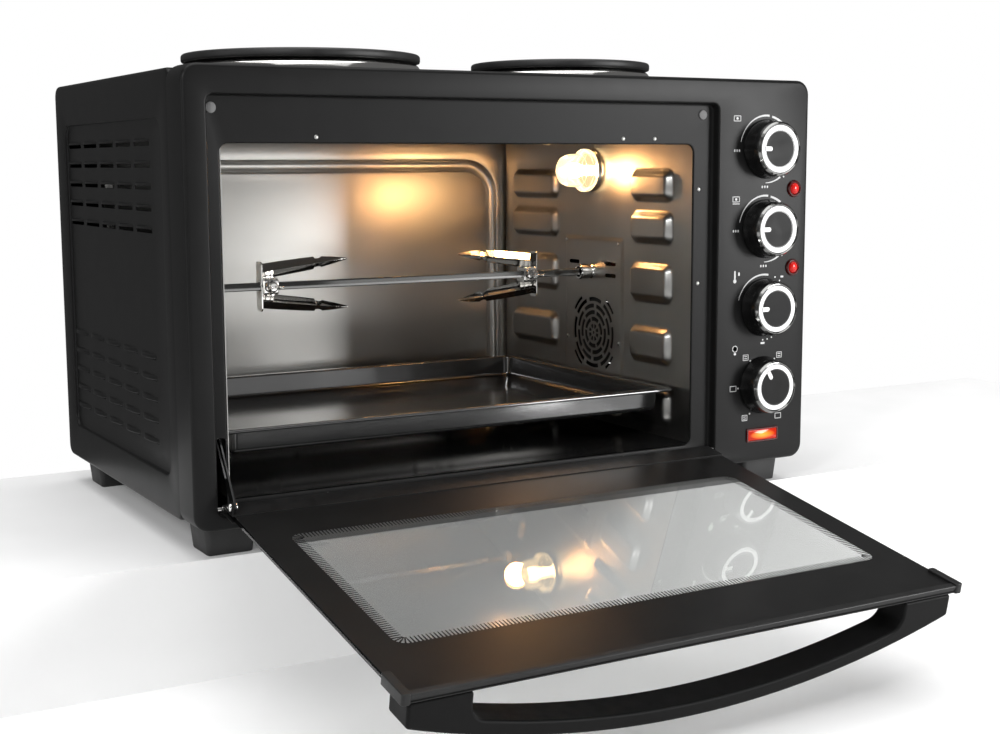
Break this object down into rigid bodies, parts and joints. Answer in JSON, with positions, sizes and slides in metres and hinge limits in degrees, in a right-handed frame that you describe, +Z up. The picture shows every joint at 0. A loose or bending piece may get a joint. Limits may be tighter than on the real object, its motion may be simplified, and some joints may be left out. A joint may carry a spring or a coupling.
{
  "type": "rotisserie oven",
  "caption": "Countertop electric oven with a drop-down glass door, rotisserie spit with forks, baking tray, side control knobs and cast hotplates on top.",
  "frame": {"origin": "centre of the front left foot's sole, on the worktop plane", "axes": "+Z up, +Y from the front of the oven to its back, +X to the right seen from the front"},
  "size_m": [0.56, 0.6472, 0.4383],
  "materials": {
    "black_steel": "satin",
    "black_plastic": "matte",
    "bright_steel": "satin",
    "chrome": "polished",
    "cast_iron": "matte",
    "black_enamel": "gloss",
    "door_glass": "gloss",
    "lamp_glass": "gloss",
    "red_lens": "gloss",
    "amber_lens": "gloss",
    "grey_rubber": "matte"
  },
  "bodies": {
    "oven": {"front_frame": "black_steel", "left_side_panel": "black_steel", "right_side_panel": "black_steel", "top_cover": "black_steel", "back_panel": "black_steel", "base_plate": "black_steel", "cavity_back_wall": "bright_steel", "cavity_left_wall": "bright_steel", "cavity_right_wall": "bright_steel", "cavity_roof": "bright_steel", "cavity_floor": "black_enamel", "heater_upper_front": "bright_steel", "heater_upper_rear": "bright_steel", "heater_lower_front": "bright_steel", "heater_lower_rear": "bright_steel", "lamp_holder": "bright_steel", "lamp_glass": "lamp_glass", "lamp_bulb": "lamp_glass", "rotisserie_motor": "bright_steel", "fan_motor": "bright_steel", "spit_support": "chrome", "control_unit_1": "black_plastic", "control_unit_2": "black_plastic", "control_unit_3": "black_plastic", "control_unit_4": "black_plastic", "indicator_lens_upper": "red_lens", "indicator_lens_lower": "red_lens", "power_lens": "amber_lens", "hotplate_left": "cast_iron", "hotplate_right": "cast_iron", "hotplate_trim_left": "bright_steel", "hotplate_trim_right": "bright_steel", "foot_front_left": "black_plastic", "foot_front_right": "black_plastic", "foot_rear_left": "black_plastic", "foot_rear_right": "black_plastic", "bumper_left": "grey_rubber", "bumper_right": "grey_rubber", "cable_gland": "black_plastic"},
    "door": {"door_glass": "door_glass", "door_top_rail": "black_plastic", "door_bottom_rail": "black_steel", "hinge_pin_left": "chrome", "hinge_pin_right": "chrome", "link_rivet": "chrome", "door_handle": "black_plastic"},
    "link": {"door_link": "bright_steel"},
    "tray": {"baking_tray": "black_enamel"},
    "spit": {"spit_rod": "chrome", "spit_socket": "chrome"},
    "left_fork": {"fork_left": "chrome"},
    "left_thumbscrew": {"fork_left_screw": "chrome"},
    "right_fork": {"fork_right": "chrome"},
    "right_thumbscrew": {"fork_right_screw": "chrome"},
    "fan": {"fan_impeller": "bright_steel"},
    "control_1": {"knob_1": "black_plastic"},
    "control_2": {"knob_2": "black_plastic"},
    "control_3": {"knob_3": "black_plastic"},
    "control_4": {"knob_4": "black_plastic"}
  },
  "joints": [
    {"name": "door_hinge", "type": "hinge", "parent": "oven", "child": "door", "pos_m": [0.2072, -0.0329, 0.0379], "axis": [-1, 0, 0], "range_deg": [0, 100.4]},
    {"name": "link_swing", "type": "hinge", "parent": "door", "child": "link", "pos_m": [-0.0078, -0.04788, 0.04196], "axis": [1, 0, 0], "range_deg": [0, 100.4]},
    {"name": "tray_slide", "type": "slide", "parent": "oven", "child": "tray", "axis": [0, 1, 0], "range_m": [-0.2, 0]},
    {"name": "spit_spin", "type": "hinge", "parent": "oven", "child": "spit", "pos_m": [0.2472, 0.1276, 0.182], "axis": [1, 0, 0], "continuous": true},
    {"name": "fork_left_slide", "type": "slide", "parent": "spit", "child": "left_fork", "axis": [1, 0, 0], "range_m": [-0.07, 0.04]},
    {"name": "fork_right_slide", "type": "slide", "parent": "spit", "child": "right_fork", "axis": [1, 0, 0], "range_m": [-0.04, 0.045]},
    {"name": "fork_left_screw_turn", "type": "hinge", "parent": "left_fork", "child": "left_thumbscrew", "pos_m": [0.0902, 0.1141, 0.182], "axis": [0, 1, 0], "range_deg": [0, 360]},
    {"name": "fork_right_screw_turn", "type": "hinge", "parent": "right_fork", "child": "right_thumbscrew", "pos_m": [0.3412, 0.1141, 0.182], "axis": [0, 1, 0], "range_deg": [0, 360]},
    {"name": "fan_spin", "type": "hinge", "parent": "oven", "child": "fan", "pos_m": [0.4222, 0.1231, 0.125], "axis": [1, 0, 0], "continuous": true},
    {"name": "knob_1_turn", "type": "hinge", "parent": "oven", "child": "control_1", "pos_m": [0.4802, -0.0359, 0.2928], "axis": [0, 1, 0], "range_deg": [0, 270]},
    {"name": "knob_2_turn", "type": "hinge", "parent": "oven", "child": "control_2", "pos_m": [0.4802, -0.0359, 0.2252], "axis": [0, 1, 0], "range_deg": [0, 270]},
    {"name": "knob_3_turn", "type": "hinge", "parent": "oven", "child": "control_3", "pos_m": [0.4802, -0.0359, 0.1576], "axis": [0, 1, 0], "range_deg": [0, 270]},
    {"name": "knob_4_turn", "type": "hinge", "parent": "oven", "child": "control_4", "pos_m": [0.4802, -0.0359, 0.09], "axis": [0, 1, 0], "range_deg": [-120, 180]}
  ],
  "couplings": [
    {"joint": "link_swing", "follows": "door_hinge", "ratio": 1}
  ]
}
